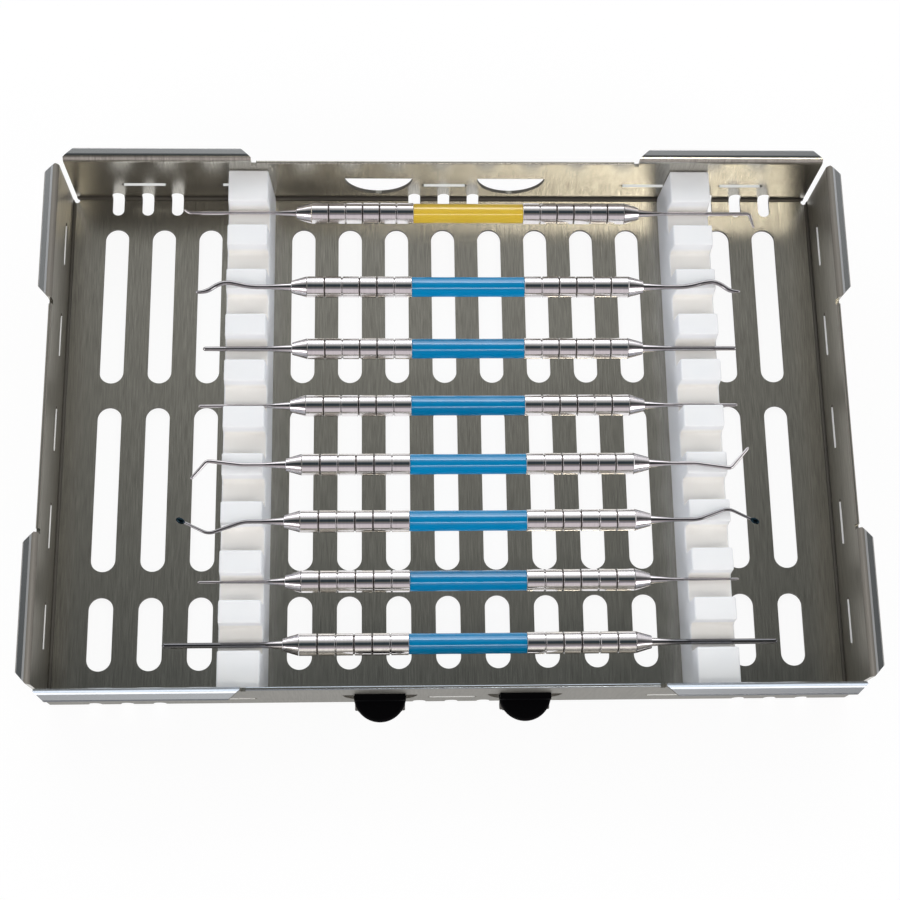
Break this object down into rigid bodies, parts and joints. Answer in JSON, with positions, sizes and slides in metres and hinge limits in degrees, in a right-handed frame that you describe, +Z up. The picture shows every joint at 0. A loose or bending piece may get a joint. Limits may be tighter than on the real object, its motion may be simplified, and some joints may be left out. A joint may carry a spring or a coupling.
{
  "type": "dental instrument cassette",
  "caption": "Open perforated steel cassette with two toothed racks, hinged latch tabs on its front and double-ended dental hand instruments lying across the racks.",
  "frame": {"origin": "middle of the footprint of the whole object, at the underside of the tray's floor", "axes": "+X to the right along the instruments, +Y to the back away from the latch tabs, +Z up"},
  "size_m": [0.2276, 0.1618, 0.0262],
  "materials": {
    "stainless_sheet": "satin, grain running front to back",
    "white_silicone": "smooth matt",
    "black_polymer": "moulded, matt",
    "hinge_steel": "satin",
    "instrument_steel": "polished",
    "blue_sleeve": "glossy",
    "yellow_sleeve": "glossy"
  },
  "bodies": {
    "tray": {"tray": "stainless_sheet", "rack_left": "white_silicone", "rack_right": "white_silicone", "latch_bracket_left": "hinge_steel", "latch_pin_left": "hinge_steel", "latch_bracket_right": "hinge_steel", "latch_pin_right": "hinge_steel"},
    "latch_left": {"latch_tab_left": "black_polymer"},
    "latch_right": {"latch_tab_right": "black_polymer"},
    "instrument_1": {"handle_1": "instrument_steel", "sleeve_1": "yellow_sleeve", "tip_left_1": "instrument_steel", "tip_right_1": "instrument_steel"},
    "instrument_2": {"handle_2": "instrument_steel", "sleeve_2": "blue_sleeve", "tip_left_2": "instrument_steel", "tip_right_2": "instrument_steel"},
    "instrument_3": {"handle_3": "instrument_steel", "sleeve_3": "blue_sleeve", "tip_left_3": "instrument_steel", "tip_right_3": "instrument_steel"},
    "instrument_4": {"handle_4": "instrument_steel", "sleeve_4": "blue_sleeve", "tip_left_4": "instrument_steel", "tip_right_4": "instrument_steel"},
    "instrument_5": {"handle_5": "instrument_steel", "sleeve_5": "blue_sleeve", "tip_left_5": "instrument_steel", "tip_right_5": "instrument_steel"},
    "instrument_6": {"handle_6": "instrument_steel", "sleeve_6": "blue_sleeve", "tip_left_6": "instrument_steel", "tip_right_6": "instrument_steel"},
    "instrument_7": {"handle_7": "instrument_steel", "sleeve_7": "blue_sleeve", "tip_left_7": "instrument_steel", "tip_right_7": "instrument_steel"},
    "instrument_8": {"handle_8": "instrument_steel", "sleeve_8": "blue_sleeve", "tip_left_8": "instrument_steel", "tip_right_8": "instrument_steel"}
  },
  "joints": [
    {"name": "latch_left_fold", "type": "hinge", "parent": "tray", "child": "latch_left", "pos_m": [-0.0194, -0.07612, 0.0102], "axis": [1, 0, 0], "range_deg": [0, 90]},
    {"name": "latch_right_fold", "type": "hinge", "parent": "tray", "child": "latch_right", "pos_m": [0.0194, -0.07612, 0.0102], "axis": [1, 0, 0], "range_deg": [0, 90]},
    {"name": "instrument_1_lift", "type": "slide", "parent": "tray", "child": "instrument_1", "axis": [0, 0, 1], "range_m": [0, 0.06]},
    {"name": "instrument_2_lift", "type": "slide", "parent": "tray", "child": "instrument_2", "axis": [0, 0, 1], "range_m": [0, 0.06]},
    {"name": "instrument_3_lift", "type": "slide", "parent": "tray", "child": "instrument_3", "axis": [0, 0, 1], "range_m": [0, 0.06]},
    {"name": "instrument_4_lift", "type": "slide", "parent": "tray", "child": "instrument_4", "axis": [0, 0, 1], "range_m": [0, 0.06]},
    {"name": "instrument_5_lift", "type": "slide", "parent": "tray", "child": "instrument_5", "axis": [0, 0, 1], "range_m": [0, 0.06]},
    {"name": "instrument_6_lift", "type": "slide", "parent": "tray", "child": "instrument_6", "axis": [0, 0, 1], "range_m": [0, 0.06]},
    {"name": "instrument_7_lift", "type": "slide", "parent": "tray", "child": "instrument_7", "axis": [0, 0, 1], "range_m": [0, 0.06]},
    {"name": "instrument_8_lift", "type": "slide", "parent": "tray", "child": "instrument_8", "axis": [0, 0, 1], "range_m": [0, 0.06]}
  ]
}
